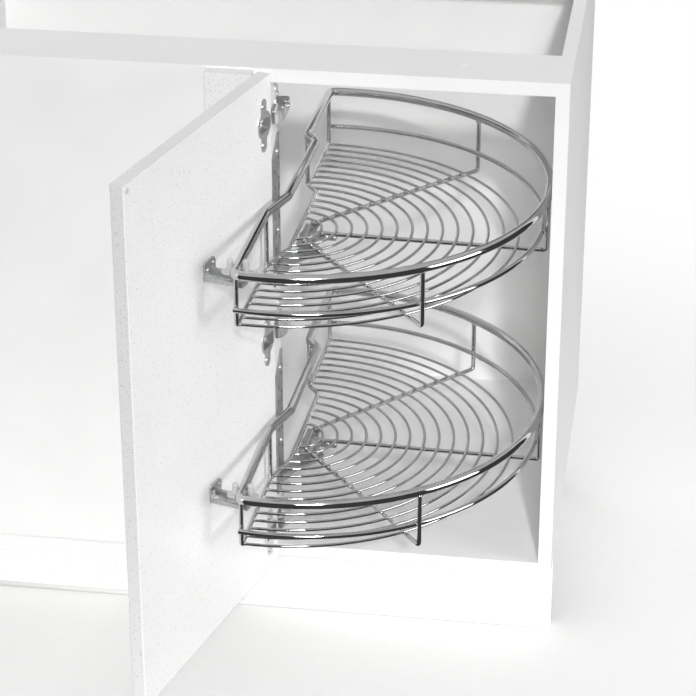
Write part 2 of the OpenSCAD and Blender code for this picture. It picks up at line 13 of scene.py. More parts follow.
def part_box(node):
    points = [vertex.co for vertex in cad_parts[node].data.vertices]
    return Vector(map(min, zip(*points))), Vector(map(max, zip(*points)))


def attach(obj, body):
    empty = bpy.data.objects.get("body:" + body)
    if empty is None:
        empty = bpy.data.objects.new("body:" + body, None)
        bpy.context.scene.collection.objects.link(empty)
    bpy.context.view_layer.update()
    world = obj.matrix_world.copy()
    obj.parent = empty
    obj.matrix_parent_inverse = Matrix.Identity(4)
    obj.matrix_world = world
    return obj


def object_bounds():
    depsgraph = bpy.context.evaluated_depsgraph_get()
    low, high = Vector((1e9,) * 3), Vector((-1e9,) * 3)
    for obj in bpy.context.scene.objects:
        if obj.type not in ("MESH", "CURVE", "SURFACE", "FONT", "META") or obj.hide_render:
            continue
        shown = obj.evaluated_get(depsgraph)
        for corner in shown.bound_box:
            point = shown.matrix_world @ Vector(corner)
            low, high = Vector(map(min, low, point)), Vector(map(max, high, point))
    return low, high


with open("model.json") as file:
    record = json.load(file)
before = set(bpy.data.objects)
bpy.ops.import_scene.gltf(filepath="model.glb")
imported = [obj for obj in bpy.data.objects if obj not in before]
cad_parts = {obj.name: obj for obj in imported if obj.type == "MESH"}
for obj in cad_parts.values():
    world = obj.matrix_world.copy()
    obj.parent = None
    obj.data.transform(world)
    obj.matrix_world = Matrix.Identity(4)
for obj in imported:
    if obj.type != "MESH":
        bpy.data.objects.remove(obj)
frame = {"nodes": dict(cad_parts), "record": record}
cad_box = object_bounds()

bl_info = {
    "name": "Corner Carousel Cabinet",
    "version": (1, 0, 0),
    "blender": (4, 5, 0),
    "location": "View3D > Sidebar > Cabinet",
    "description": "Dresses the corner carousel cabinet with finishes, welds and fittings",
    "category": "Add Mesh",
}

MM = 0.001
TO_METRES = Matrix.Scale(MM, 4)

# Sizes shared with the cabinet's source, in millimetres.
SHELF_PIVOT = (38.0, -24.0)
SHELF_TURN = 88.0
SHELF_FLOORS = {"upper": 586.0, "lower": 270.0}
SHELF_RADIUS = 318.0
FLAT_SIDE = 32.6
NOTCH_DEPTH = 16.8
NOTCH_STOPS = (-125.6, -68.0, 125.0, 147.4)
RIM_WIRE = 12.0
RIM_HEIGHT = 75.0
RAIL_WIRE = 7.0
RAIL_HEIGHT = 24.0
STEM_WIRE = 6.0
RING_COUNT = 14
RING_SHIFT = 21.0
FIRST_RING = 36.0
SPOKE_ANGLE = 37.0
SPOKE_SIDE = 3.8
SPOKE_KNEE = 28.0
HUB_TOP = -8.06
HINGE_HEIGHTS = (176.0, 470.0, 776.0)
HINGE_ARM_WIDTH = 16.0
BRACKET_FACE = 3.0

# Places that follow from these sizes.
STEM_TO_RAIL = (STEM_WIRE + RAIL_WIRE) / 2 + 0.05
RAIL_RADIUS = SHELF_RADIUS - STEM_TO_RAIL
CORNER_STEM = math.sqrt((RAIL_RADIUS - STEM_TO_RAIL) ** 2 - FLAT_SIDE ** 2)
LAST_RING = CORNER_STEM - 3.5
RIM_UNDERSIDE = RIM_HEIGHT - RIM_WIRE / 2
NOTCH_SIDE = FLAT_SIDE - NOTCH_DEPTH
SPOKE_TURN = math.atan2(
    SHELF_RADIUS * math.sin(math.radians(SPOKE_ANGLE)) + SPOKE_SIDE,
    SHELF_RADIUS * math.cos(math.radians(SPOKE_ANGLE)) - SPOKE_KNEE,
)

# How near a floor ring's end comes to the middle of the straight side's wire,
# and how much sooner the next stretch of that wire stops the rings.
END_TO_SIDE = 3.75
END_TO_RAMP = 4.35
STRETCH_CHANGE = 3.0

# Weld beads: half length, half width and half height.
RING_END_BEAD = (3.2, 2.6, 2.8)
CROSSING_BEAD = (3.6, 2.5, 1.5)
RAIL_BEAD = (2.9, 1.5, 2.2)
HUB_ARM_BEAD = (4.6, 1.4, 1.2)
HUB_NOSE_BEAD = (4.2, 1.4, 1.2)
# Weld collars round a stem: inner radius, outer radius and half height.
RIM_COLLAR = (2.6, 4.2, 1.7)
FLOOR_COLLAR = (2.7, 4.0, 1.3)
BEAD_SEEDS = {"upper": 11, "lower": 23}
# Places of the hub's welds along its arms and its nose, and off the wire's middle.
HUB_ARM_WELDS = (12.0, 24.0)
HUB_NOSE_WELDS = (-22.0, -32.0)
WIRE_EDGES = (-2.6, 2.6)
# Shift of a ring end's bead towards the rings, heights of the beads on the
# rings, and lift of the hub's beads and of the collars under the rim.
RING_END_SHIFT = 0.3
RING_END_LEVEL = 0.2
CROSSING_LEVEL = -2.1
HUB_BEAD_LIFT = 0.2
COLLAR_LIFT = 0.4

# Profiles turned round an axis: radius and height of each point.
RIVET_HEAD = ((0.02, 1.1), (1.5, 0.9), (2.2, 0.35), (2.3, 0.0), (2.3, -0.3), (0.02, -0.3))
HOLE_BURR = ((2.9, -0.3), (2.7, 0.22), (2.2, 0.3), (1.9, 0.06), (0.02, 0.04))
RIVET_SPOTS = ((14.4, -88.0), (14.4, -66.0))
# Small holes between the large ones: row, lowest height, step and count.
HOLE_ROWS = ((-88.0, -3.0, 22.0, 6), (-64.0, 6.0, 28.0, 5))

# Lip under the plinth board: points off the board's front face or, for the
# rear, off its rear face, each with its height, and the gap at both ends.
LIP_FRONT = (
    (-0.9, 3.2), (-0.3, 1.6), (0.8, 0.5), (2.6, 0.25), (3.0, 0.8), (1.2, 1.7), (1.6, 1.95),
)
LIP_REAR = ((0.1, 1.95), (0.1, 1.2), (0.9, 1.2), (0.9, 7.0), (0.05, 7.0), (0.05, 1.98))
LIP_INSIDE = (-0.05, 1.98)
LIP_END_GAP = 0.4

# Distances from the cabinet's middle, in metres, at which the stage floor fades out.
FLOOR_FADE = (0.75, 1.6)
FLOOR_HALF_SIZE = 14.0


# ---------- shader helpers ----------


def add_node(tree, kind, spot, inputs=None, **settings):
    """Places a shader node, with its settings and the values of its inputs."""
    node = tree.nodes.new(kind)
    node.location = spot
    for name, value in settings.items():
        setattr(node, name, value)
    for name, value in (inputs or {}).items():
        node.inputs[name].default_value = value
    return node


def start_finish(name, colour, **shader_inputs):
    """Makes a material with a Principled shader and the object's own coordinates."""
    material = bpy.data.materials.new(name)
    material.use_nodes = True
    material.diffuse_color = (*colour, 1.0)
    tree = material.node_tree
    tree.nodes.clear()
    output = add_node(tree, "ShaderNodeOutputMaterial", (600, 0))
    shader = add_node(tree, "ShaderNodeBsdfPrincipled", (300, 0), shader_inputs)
    shader.inputs["Base Color"].default_value = (*colour, 1.0)
    place = add_node(tree, "ShaderNodeTexCoord", (-1100, 0))
    tree.links.new(shader.outputs["BSDF"], output.inputs["Surface"])
    return material, tree, shader, place.outputs["Object"]


def grain(tree, place, scale, spot, detail=3.0, stretch=None):
    """Noise at a scale given in cells per metre, stretched along an axis if asked."""
    if stretch:
        mapping = add_node(tree, "ShaderNodeMapping", (spot[0] - 200, spot[1]), {"Scale": stretch})
        tree.links.new(place, mapping.inputs["Vector"])
        place = mapping.outputs["Vector"]
    noise = add_node(tree, "ShaderNodeTexNoise", spot, {"Scale": scale, "Detail": detail})
    tree.links.new(place, noise.inputs["Vector"])
    return noise.outputs["Fac"]


def tint(tree, factor, dark, light, low, high, spot):
    """Colours a surface between two tones as the factor goes from low to high."""
    ramp = add_node(tree, "ShaderNodeValToRGB", spot)
    ramp.color_ramp.elements[0].position = low
    ramp.color_ramp.elements[0].color = (*dark, 1.0)
    ramp.color_ramp.elements[1].position = high
    ramp.color_ramp.elements[1].color = (*light, 1.0)
    tree.links.new(factor, ramp.inputs["Fac"])
    return ramp.outputs["Color"]


def spread(tree, factor, low, high, spot):
    """Maps a factor of 0 to 1 to a range, for roughness."""
    node = add_node(
        tree, "ShaderNodeMapRange", spot,
        {"From Min": 0.3, "From Max": 0.7, "To Min": low, "To Max": high},
    )
    tree.links.new(factor, node.inputs["Value"])
    return node.outputs["Result"]


def raise_surface(tree, shader, height, strength, depth, spot):
    """Bumps the surface by a height, over a depth in metres."""
    bump = add_node(tree, "ShaderNodeBump", spot, {"Strength": strength, "Distance": depth})
    tree.links.new(height, bump.inputs["Height"])
    tree.links.new(bump.outputs["Normal"], shader.inputs["Normal"])


def darker_of(tree, one, other, spot):
    """The darker of two colours at each point."""
    mix = add_node(
        tree, "ShaderNodeMix", spot, {"Factor": 1.0}, data_type="RGBA", blend_type="DARKEN"
    )
    tree.links.new(one, mix.inputs["A"])
    tree.links.new(other, mix.inputs["B"])
    return mix.outputs["Result"]


def shade(colour, amount):
    """The colour with every channel multiplied by the amount."""
    return tuple(min(1.0, c * amount) for c in colour)


# ---------- finishes ----------


def make_front_lacquer(look):
    """Satin white front with the fine specks and orange peel of sprayed lacquer."""
    colour = tuple(look.front_colour)
    material, tree, shader, place = start_finish(
        "front_lacquer", colour, **{"Coat Weight": 0.12, "Coat Roughness": 0.25}
    )
    specks = grain(tree, place, 420.0, (-700, 200), 2.0)
    clouds = grain(tree, place, 6.0, (-700, -50), 4.0)
    toned = tint(tree, specks, shade(colour, 0.72), colour, 0.3, 0.4, (-400, 250))
    mottle = tint(tree, clouds, shade(colour, 0.975), shade(colour, 1.01), 0.35, 0.65, (-400, 0))
    mixed = darker_of(tree, toned, mottle, (-100, 200))
    tree.links.new(mixed, shader.inputs["Base Color"])
    tree.links.new(spread(tree, clouds, 0.34, 0.44, (-100, -100)), shader.inputs["Roughness"])
    peel = grain(tree, place, 260.0, (-400, -350), 1.0)
    raise_surface(tree, shader, peel, 0.08, 0.0004, (0, -350))
    return material


def make_carcass_board(look):
    """White melamine board: pearl grain, faint mottling and matt sheen."""
    colour = tuple(look.board_colour)
    material, tree, shader, place = start_finish("carcass_board", colour)
    clouds = grain(tree, place, 9.0, (-700, 200), 5.0)
    pearl = grain(tree, place, 1300.0, (-700, -50), 2.0)
    toned = tint(tree, clouds, shade(colour, 0.965), colour, 0.3, 0.62, (-400, 200))
    flecks = tint(tree, pearl, shade(colour, 0.93), colour, 0.28, 0.42, (-400, -20))
    mixed = darker_of(tree, toned, flecks, (-100, 200))
    tree.links.new(mixed, shader.inputs["Base Color"])
    tree.links.new(spread(tree, pearl, 0.42, 0.56, (-100, -120)), shader.inputs["Roughness"])
    raise_surface(tree, shader, pearl, 0.12, 0.0003, (0, -350))
    return material


def make_chrome_wire(look):
    """Bright chrome over drawn wire: mirror finish with faint drawing lines and haze."""
    colour = tuple(look.chrome_colour)
    material, tree, shader, place = start_finish("chrome_wire", colour, Metallic=1.0)
    haze = grain(tree, place, 45.0, (-700, 150), 4.0)
    pits = grain(tree, place, 1600.0, (-700, -150), 2.0)
    toned = tint(tree, haze, shade(colour, 0.93), shade(colour, 1.03), 0.35, 0.7, (-400, 150))
    tree.links.new(toned, shader.inputs["Base Color"])
    gloss = spread(tree, haze, look.chrome_roughness, look.chrome_roughness + 0.05, (-100, -50))
    tree.links.new(gloss, shader.inputs["Roughness"])
    raise_surface(tree, shader, pits, 0.03, 0.0002, (0, -300))
    return material


def make_zinc_sheet(look):
    """Bright zinc-plated sheet with faint spangle and rolling lines."""
    colour = tuple(look.zinc_colour)
    material, tree, shader, place = start_finish("zinc_sheet", colour, Metallic=1.0)
    cells = add_node(tree, "ShaderNodeTexVoronoi", (-700, 200), {"Scale": 220.0})
    tree.links.new(place, cells.inputs["Vector"])
    rolled = grain(tree, place, 420.0, (-700, -100), 3.0, stretch=(1.0, 1.0, 0.08))
    toned = tint(
        tree, cells.outputs["Distance"], shade(colour, 1.04), shade(colour, 0.88), 0.1, 0.7,
        (-400, 200),
    )
    tree.links.new(toned, shader.inputs["Base Color"])
    tree.links.new(spread(tree, rolled, 0.32, 0.5, (-100, -80)), shader.inputs["Roughness"])
    raise_surface(tree, shader, rolled, 0.08, 0.0003, (0, -300))
    return material


def make_nickel_steel(look):
    """Nickel-plated hinge steel with brushed lines and slight haze."""
    colour = tuple(look.nickel_colour)
    material, tree, shader, place = start_finish("nickel_steel", colour, Metallic=1.0)
    brushed = grain(tree, place, 700.0, (-700, 100), 2.0, stretch=(0.06, 0.06, 1.0))
    haze = grain(tree, place, 60.0, (-700, -150), 3.0)
    toned = tint(tree, haze, shade(colour, 0.9), shade(colour, 1.04), 0.3, 0.7, (-400, 100))
    tree.links.new(toned, shader.inputs["Base Color"])
    tree.links.new(spread(tree, brushed, 0.28, 0.42, (-100, -80)), shader.inputs["Roughness"])
    raise_surface(tree, shader, brushed, 0.06, 0.0002, (0, -300))
    return material


def make_grey_steel(look):
    """Grey coated pressed steel: fine powder texture and rubbed lighter patches."""
    colour = tuple(look.bracket_colour)
    material, tree, shader, place = start_finish("grey_steel", colour, Metallic=0.65)
    powder = grain(tree, place, 850.0, (-700, 150), 3.0)
    rubbed = grain(tree, place, 38.0, (-700, -120), 5.0)
    toned = tint(tree, rubbed, shade(colour, 0.85), shade(colour, 1.2), 0.35, 0.75, (-400, 150))
    tree.links.new(toned, shader.inputs["Base Color"])
    tree.links.new(spread(tree, powder, 0.34, 0.5, (-100, -80)), shader.inputs["Roughness"])
    raise_surface(tree, shader, powder, 0.15, 0.0003, (0, -300))
    return material


def make_guide_plastic(look):
    """Milky nylon that lets a little light through."""
    colour = tuple(look.guide_colour)
    material, tree, shader, place = start_finish(
        "guide_plastic", colour,
        **{"Subsurface Weight": 0.25, "Subsurface Radius": (0.004, 0.004, 0.004)},
    )
    flow = grain(tree, place, 120.0, (-700, 100), 3.0, stretch=(1.0, 1.0, 0.3))
    skin = grain(tree, place, 1100.0, (-700, -150), 2.0)
    toned = tint(tree, flow, shade(colour, 0.93), colour, 0.3, 0.7, (-400, 100))
    tree.links.new(toned, shader.inputs["Base Color"])
    tree.links.new(spread(tree, flow, 0.3, 0.42, (-100, -80)), shader.inputs["Roughness"])
    raise_surface(tree, shader, skin, 0.06, 0.0002, (0, -300))
    return material


def make_leg_plastic(look):
    """Black moulded polypropylene with a fine leather grain."""
    colour = tuple(look.leg_colour)
    material, tree, shader, place = start_finish("leg_plastic", colour)
    leather = add_node(tree, "ShaderNodeTexVoronoi", (-700, 100), {"Scale": 950.0})
    tree.links.new(place, leather.inputs["Vector"])
    dust = grain(tree, place, 30.0, (-700, -150), 5.0)
    toned = tint(tree, dust, shade(colour, 0.8), shade(colour, 1.7), 0.35, 0.8, (-400, 100))
    tree.links.new(toned, shader.inputs["Base Color"])
    tree.links.new(spread(tree, dust, 0.42, 0.6, (-100, -80)), shader.inputs["Roughness"])
    raise_surface(tree, shader, leather.outputs["Distance"], 0.25, 0.0003, (0, -300))
    return material


def make_bumper_rubber(look):
    """Clear soft dot with a dull skin."""
    colour = tuple(look.bumper_colour)
    material, tree, shader, place = start_finish(
        "bumper_rubber", colour, **{"Transmission Weight": 0.35, "IOR": 1.48}
    )
    dull = grain(tree, place, 500.0, (-700, 0), 3.0)
    toned = tint(tree, dull, shade(colour, 0.92), colour, 0.3, 0.7, (-400, 100))
    tree.links.new(toned, shader.inputs["Base Color"])
    tree.links.new(spread(tree, dull, 0.3, 0.5, (-100, -80)), shader.inputs["Roughness"])
    raise_surface(tree, shader, dull, 0.05, 0.0002, (0, -300))
    return material


def make_weld_chrome(look):
    """Chrome over a welded bead: brighter, rippled and softer than the wire."""
    colour = shade(tuple(look.chrome_colour), 1.05)
    material, tree, shader, place = start_finish("weld_chrome", colour, Metallic=1.0)
    ripple = grain(tree, place, 800.0, (-700, 0), 2.0)
    toned = tint(tree, ripple, shade(colour, 0.9), colour, 0.3, 0.6, (-400, 100))
    tree.links.new(toned, shader.inputs["Base Color"])
    tree.links.new(spread(tree, ripple, 0.16, 0.3, (-100, -80)), shader.inputs["Roughness"])
    raise_surface(tree, shader, ripple, 0.3, 0.0004, (0, -300))
    return material


def make_hole_painted_shade(look):
    """Painted shade for the inside of a punched hole: a dark tone that stands for the shade in the
    hole, lighter where the burr was rubbed.
    """
    # Painted shade: the bracket's colour darkened to stand for the shade inside a hole.
    colour = shade(tuple(look.bracket_colour), 0.22)
    material, tree, shader, place = start_finish("hole_painted_shade", colour, Metallic=0.4)
    burr = grain(tree, place, 900.0, (-700, 0), 2.0)
    toned = tint(tree, burr, colour, shade(colour, 2.4), 0.4, 0.75, (-400, 100))
    tree.links.new(toned, shader.inputs["Base Color"])
    tree.links.new(spread(tree, burr, 0.45, 0.65, (-100, -80)), shader.inputs["Roughness"])
    raise_surface(tree, shader, burr, 0.1, 0.0002, (0, -300))
    return material


# The finish of each material slot of the cabinet.
FINISH_MAKERS = {
    "front_lacquer": make_front_lacquer,
    "carcass_board": make_carcass_board,
    "chrome_wire": make_chrome_wire,
    "zinc_sheet": make_zinc_sheet,
    "nickel_steel": make_nickel_steel,
    "grey_steel": make_grey_steel,
    "guide_plastic": make_guide_plastic,
    "leg_plastic": make_leg_plastic,
    "bumper_rubber": make_bumper_rubber,
}


# ---------- mesh helpers ----------


def on_shelf(shelf):
    """Matrix from a shelf's own frame in millimetres to the cabinet in metres."""
    spot = Vector((*SHELF_PIVOT, SHELF_FLOORS[shelf])) * MM
    turn = Matrix.Rotation(math.radians(SHELF_TURN), 4, "Z")
    return Matrix.Translation(spot) @ turn @ TO_METRES


def finish_piece(name, shape, matrix, body, material):
    """Turns a mesh in the making into a shown piece that rides on a body."""
    shape.transform(matrix)
    bmesh.ops.recalc_face_normals(shape, faces=shape.faces)
    mesh = bpy.data.meshes.new(name)
    shape.to_mesh(mesh)
    shape.free()
    mesh.shade_smooth()
    piece = bpy.data.objects.new(name, mesh)
    bpy.context.scene.collection.objects.link(piece)
    piece.data.materials.append(material)
    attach(piece, body)


def add_bead(shape, spot, size, along, rng):
    """One weld bead: a drop drawn out along a direction, with an uneven skin."""
    made = bmesh.ops.create_icosphere(shape, subdivisions=2, radius=1.0)
    axis = Vector(along).normalized()
    turn = axis.to_track_quat("X", "Z").to_matrix()
    for vertex in made["verts"]:
        uneven = 1.0 + rng.uniform(-0.06, 0.06)
        stretched = Vector(a * b for a, b in zip(vertex.co, size)) * uneven
        vertex.co = turn @ stretched + Vector(spot)


def close_round(shape, rings):
    """Joins the points of each ring to those of the next, all the way round."""
    for here, after in zip(rings, rings[1:] + rings[:1]):
        for low in range(len(here) - 1):
            shape.faces.new((here[low], after[low], after[low + 1], here[low + 1]))


def add_collar(shape, spot, inner, size, rng, steps=14):
    """A weld collar of an outer radius and half height round a stem, with an uneven outline."""
    outer, height = size
    profile = (
        (inner, -height), (outer, -height * 0.35), (outer * 0.97, height * 0.4), (inner, height),
    )
    rings = []
    for step in range(steps):
        angle = 2 * math.pi * step / steps
        uneven = 1.0 + rng.uniform(-0.05, 0.05)
        rings.append([
            shape.verts.new((
                spot[0] + radius * uneven * math.cos(angle),
                spot[1] + radius * uneven * math.sin(angle),
                spot[2] + rise,
            ))
            for radius, rise in profile
        ])
    close_round(shape, rings)


def add_lathe(shape, profile, matrix, steps=24):
    """A turned piece: the profile's (radius, height) points swept round Z."""
    rings = []
    for step in range(steps):
        angle = 2 * math.pi * step / steps
        rings.append([
            shape.verts.new(matrix @ Vector((r * math.cos(angle), r * math.sin(angle), h)))
            for r, h in profile
        ])
    close_round(shape, rings)
    shape.faces.new([ring[0] for ring in reversed(rings)])
    shape.faces.new([ring[-1] for ring in rings])


def add_strip(shape, outline, start, end):
    """A strip with a closed (y, z) outline that runs along X."""
    ends = [[shape.verts.new((x, y, z)) for y, z in outline] for x in (start, end)]
    count = len(outline)
    for step in range(count):
        after = (step + 1) % count
        shape.faces.new((ends[0][step], ends[0][after], ends[1][after], ends[1][step]))
    shape.faces.new(list(reversed(ends[0])))
    shape.faces.new(ends[1])


# ---------- pieces ----------


def ring_end(radius, ramp_start, ramp_end):
    """Angle past the ring centre's line at which a floor ring meets the straight side."""
    side, notch = FLAT_SIDE - RING_SHIFT, NOTCH_SIDE - RING_SHIFT
    tilt = math.atan2(NOTCH_DEPTH, ramp_end - ramp_start)
    reach = notch * math.cos(tilt) - ramp_start * math.sin(tilt)
    if radius < math.hypot(ramp_start, notch) - STRETCH_CHANGE:
        return math.asin((notch - END_TO_SIDE) / radius)
    if radius < math.hypot(ramp_end, side) - STRETCH_CHANGE:
        return tilt + math.asin((reach - END_TO_RAMP) / radius)
    return math.asin((side - END_TO_SIDE) / radius)


def side_depth(u):
    """Distance of the straight side's wire from the pivot line at a place along it."""
    out, start, end, back = NOTCH_STOPS
    if u < out or u > back:
        return FLAT_SIDE
    if u < start:
        return NOTCH_SIDE + NOTCH_DEPTH * (start - u) / (start - out)
    if u > end:
        return NOTCH_SIDE + NOTCH_DEPTH * (u - end) / (back - end)
    return NOTCH_SIDE


def ring_crossings(radius):
    """Places where a floor ring lies on the radial wires, with the ring's direction there."""
    across, down = math.cos(SPOKE_TURN), math.sin(SPOKE_TURN)
    offset = RING_SHIFT - SPOKE_SIDE
    lean = SPOKE_KNEE * across + offset * down
    along = math.sqrt(lean ** 2 + radius ** 2 - SPOKE_KNEE ** 2 - offset ** 2) - lean
    u, v = SPOKE_KNEE + along * across, SPOKE_SIDE - along * down
    spots = ((u, v), (-u, v), (0.0, RING_SHIFT - radius))
    return [(x, y, (RING_SHIFT - y, x, 0.0)) for x, y in spots]


def stem_feet():
    """Places of a shelf's stems: under the radial wires, at the corners and at the kinks."""
    out, _, _, back = NOTCH_STOPS
    round_side = [
        (SHELF_RADIUS * math.cos(math.radians(angle)), SHELF_RADIUS * math.sin(math.radians(angle)))
        for angle in (-SPOKE_ANGLE, -90.0, SPOKE_ANGLE - 180.0)
    ]
    corners = [(u, FLAT_SIDE) for u in (-CORNER_STEM, CORNER_STEM)]
    kinks = [(u, FLAT_SIDE) for u in (out, back)]
    return round_side, corners, kinks


def ring_welds(shape, grow, rng):
    """Beads where the floor rings end and where they cross the radial wires."""
    out, start, end, back = NOTCH_STOPS
    for count in range(RING_COUNT):
        radius = FIRST_RING + (LAST_RING - FIRST_RING) * count / (RING_COUNT - 1)
        for flip, ramp_start, ramp_end in ((-1, -start, -out), (1, end, back)):
            angle = ring_end(radius, ramp_start, ramp_end)
            u, v = flip * radius * math.cos(angle), RING_SHIFT + radius * math.sin(angle)
            spot = (u, (v + side_depth(u)) / 2 - RING_END_SHIFT, RING_END_LEVEL)
            add_bead(shape, spot, grow(RING_END_BEAD), (1.0, 0.2 * flip, 0.0), rng)
        for x, y, along in ring_crossings(radius):
            add_bead(shape, (x, y, CROSSING_LEVEL), grow(CROSSING_BEAD), along, rng)


def stem_welds(shape, grow, rng):
    """Collars round the stems under the rim and on the rings, and beads on the rail."""
    round_side, corners, kinks = stem_feet()
    for x, y in round_side + corners + kinks:
        spot = (x, y, RIM_UNDERSIDE + COLLAR_LIFT)
        add_collar(shape, spot, RIM_COLLAR[0], grow(RIM_COLLAR[1:]), rng)
    for x, y in kinks:
        spot = (x, y, STEM_WIRE / 2)
        add_collar(shape, spot, FLOOR_COLLAR[0], grow(FLOOR_COLLAR[1:]), rng)
    for places, side in ((round_side, RAIL_WIRE / 2), (corners, -RAIL_WIRE / 2)):
        for x, y in places:
            reach = (RAIL_RADIUS + side) / math.hypot(x, y)
            spot = (x * reach, y * reach, RAIL_HEIGHT)
            add_bead(shape, spot, grow(RAIL_BEAD), (-y, x, 0.0), rng)


def hub_welds(shape, grow, rng):
    """Beads on both sides of the radial wires where they lie on the hub."""
    height = HUB_TOP + HUB_BEAD_LIFT
    for side in (-1, 1):
        for x in HUB_ARM_WELDS:
            for edge in WIRE_EDGES:
                spot = (side * x, SPOKE_SIDE + edge, height)
                add_bead(shape, spot, grow(HUB_ARM_BEAD), (1, 0, 0), rng)
    for y in HUB_NOSE_WELDS:
        for edge in WIRE_EDGES:
            add_bead(shape, (edge, y, height), grow(HUB_NOSE_BEAD), (0, 1, 0), rng)


def weld_beads(shelf, look, fittings):
    """Every weld of a shelf: ring ends, ring crossings, stems, rim, rail and hub."""
    shape = bmesh.new()
    rng = random.Random(BEAD_SEEDS[shelf])
    factor = fittings.bead_length / (2 * CROSSING_BEAD[0] * MM)

    def grow(size):
        return tuple(factor * length for length in size)

    ring_welds(shape, grow, rng)
    stem_welds(shape, grow, rng)
    hub_welds(shape, grow, rng)
    material = bpy.data.materials.get("weld_chrome") or make_weld_chrome(look)
    body = shelf + "_shelf"
    finish_piece(shelf + "_weld_beads", shape, on_shelf(shelf), body, material)


def hinge_rivets(fittings):
    """Two rivet heads at both sides of every hinge arm."""
    shape = bmesh.new()
    grow = Matrix.Scale(fittings.rivet_width / (2 * RIVET_HEAD[3][0] * MM), 4)
    for height in HINGE_HEIGHTS:
        for x, y in RIVET_SPOTS:
            for flip in (1, -1):
                spot = Matrix.Translation((x, y, height + flip * HINGE_ARM_WIDTH / 2))
                mirror = Matrix.Scale(flip, 4, (0, 0, 1))
                add_lathe(shape, RIVET_HEAD, spot @ mirror @ grow)
    material = bpy.data.materials["nickel_steel"]
    finish_piece("hinge_rivets", shape, TO_METRES, "cabinet", material)


def bracket_holes(look, fittings):
    """Two rows of punched holes on the face of both post brackets: a low burr round a shallow dish,
    with painted shade inside for the hole's depth.
    """
    shape = bmesh.new()
    grow = Matrix.Scale(fittings.burr_width / (2 * HOLE_BURR[0][0] * MM), 4)
    sideways = Matrix.Rotation(math.radians(90), 4, "Y") @ grow
    for floor in SHELF_FLOORS.values():
        for y, low, step, count in HOLE_ROWS:
            for place in range(count):
                spot = Matrix.Translation((BRACKET_FACE, y, floor + low + place * step))
                add_lathe(shape, HOLE_BURR, spot @ sideways, 12)
    # The dark inside of each hole is painted shade.
    material = bpy.data.materials.get("hole_painted_shade") or make_hole_painted_shade(look)
    finish_piece("bracket_holes", shape, TO_METRES, "cabinet", material)


def plinth_seal(fittings):
    """Soft lip clipped under the plinth board, with a leg up its front and its rear."""
    low, high = (Vector(corner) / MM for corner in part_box("plinth_board"))
    leg_top = fittings.lip_height / MM
    leg_front, leg_inside = low.y + LIP_FRONT[0][0], low.y + LIP_INSIDE[0]
    outline = [(leg_front, leg_top)]
    outline += [(low.y + y, z) for y, z in LIP_FRONT]
    outline += [(high.y + y, z) for y, z in LIP_REAR]
    outline += [(leg_inside, LIP_INSIDE[1]), (leg_inside, leg_top)]
    shape = bmesh.new()
    add_strip(shape, outline, low.x + LIP_END_GAP, high.x - LIP_END_GAP)
    material = bpy.data.materials["guide_plastic"]
    finish_piece("plinth_seal", shape, TO_METRES, "cabinet", material)


# ---------- operators ----------


class CABINET_OT_finishes(bpy.types.Operator):
    """Give every part of the cabinet the finish of its material slot"""

    bl_idname = "cabinet.finishes"
    bl_label = "Finishes"

    def execute(self, context):
        look = context.scene.cabinet_look
        made = {slot: maker(look) for slot, maker in FINISH_MAKERS.items()}
        for part in frame["record"]["subparts"]:
            shown = frame["nodes"][part["node"]]
            for holder in shown.material_slots:
                holder.material = made[part["material_slot"]]
        return {"FINISHED"}


class CABINET_OT_weld_beads(bpy.types.Operator):
    """Add the weld beads of both wire shelves"""

    bl_idname = "cabinet.weld_beads"
    bl_label = "Weld Beads"

    def execute(self, context):
        for shelf in SHELF_FLOORS:
            weld_beads(shelf, context.scene.cabinet_look, context.scene.cabinet_fittings)
        return {"FINISHED"}


class CABINET_OT_hinge_rivets(bpy.types.Operator):
    """Add the rivet heads of the three hinges"""

    bl_idname = "cabinet.hinge_rivets"
    bl_label = "Hinge Rivets"

    def execute(self, context):
        hinge_rivets(context.scene.cabinet_fittings)
        return {"FINISHED"}


class CABINET_OT_bracket_holes(bpy.types.Operator):
    """Add the punched holes of both post brackets"""

    bl_idname = "cabinet.bracket_holes"
    bl_label = "Bracket Holes"

    def execute(self, context):
        bracket_holes(context.scene.cabinet_look, context.scene.cabinet_fittings)
        return {"FINISHED"}


class CABINET_OT_plinth_seal(bpy.types.Operator):
    """Add the soft lip under the plinth board"""

    bl_idname = "cabinet.plinth_seal"
    bl_label = "Plinth Seal"

    def execute(self, context):
        plinth_seal(context.scene.cabinet_fittings)
        return {"FINISHED"}


class CABINET_OT_studio(bpy.types.Operator):
    """Set up the pale floor, the soft lights, the world and the camera"""

    bl_idname = "cabinet.studio"
    bl_label = "Studio"

    def execute(self, context):
        set_up_studio(context, context.scene.cabinet_studio)
        return {"FINISHED"}


# ---------- studio ----------


